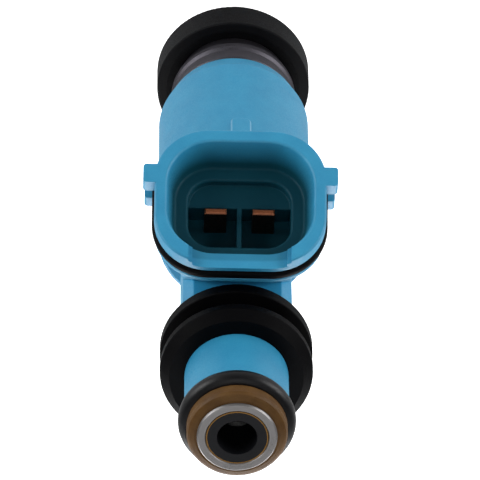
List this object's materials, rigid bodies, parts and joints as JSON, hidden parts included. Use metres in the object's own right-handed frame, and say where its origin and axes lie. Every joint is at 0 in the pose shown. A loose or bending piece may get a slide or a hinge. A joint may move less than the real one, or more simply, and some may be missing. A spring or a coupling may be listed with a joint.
{
  "type": "fuel injector",
  "caption": "Top-feed electromagnetic fuel injector: light blue overmoulded body, leaning blade connector with seal, inlet O-ring, rail grommet and lower rubber ring; the needle lifts.",
  "frame": {"origin": "on the injector's axis, at the nozzle-side face of the lower rubber ring", "axes": "+Z along the axis towards the fuel inlet, the connector leans out over -Y, +X completes the right-handed frame"},
  "size_m": [0.02, 0.0289, 0.0782],
  "materials": {
    "blue_overmould": "moulded glass-filled nylon, semi-gloss, light blue",
    "black_rubber": "moulded synthetic rubber, slight sheen",
    "tan_plastic": "moulded, light brown",
    "stainless": "turned ferritic stainless, fine lathe marks",
    "dark_steel": "drawn magnetic steel, darker, semi-gloss",
    "filter_brass": "drawn, dull",
    "filter_plastic": "moulded, dark grey",
    "filter_gauze": "woven nylon gauze",
    "terminal_copper": "stamped copper alloy, thin tin plating, bare at the sheared tip",
    "winding_copper": "enamelled wire, close wound",
    "bobbin_plastic": "moulded, black",
    "cap_plastic": "moulded, black",
    "spring_steel": "drawn spring wire"
  },
  "bodies": {
    "injector_body": {"lower_insulator": "black_rubber", "nozzle_holder": "dark_steel", "nozzle_body": "stainless", "orifice_plate": "stainless", "nozzle_cap": "cap_plastic", "stopper_plate": "stainless", "return_spring": "spring_steel", "guide_sleeve": "stainless", "coil_bobbin": "bobbin_plastic", "coil_winding": "winding_copper", "bobbin_seal_upper": "black_rubber", "bobbin_seal_lower": "black_rubber", "magnetic_housing": "dark_steel", "yoke_plate": "dark_steel", "inlet_tube": "stainless", "adjusting_pipe": "stainless", "filter_collar": "filter_brass", "filter_frame": "filter_plastic", "filter_mesh": "filter_gauze", "backup_ring": "tan_plastic", "inlet_o_ring": "black_rubber", "rail_grommet": "black_rubber", "terminal_left": "terminal_copper", "terminal_right": "terminal_copper", "overmould_body": "blue_overmould", "connector_seal": "black_rubber"},
    "needle_assembly": {"armature": "stainless", "needle": "stainless"}
  },
  "joints": [
    {"name": "needle_lift", "type": "slide", "parent": "injector_body", "child": "needle_assembly", "axis": [0, 0, 1], "range_m": [0, 0.000075], "stiffness_N_per_m": 2000, "springref_m": -0.0015, "deforming": ["return_spring"]}
  ]
}
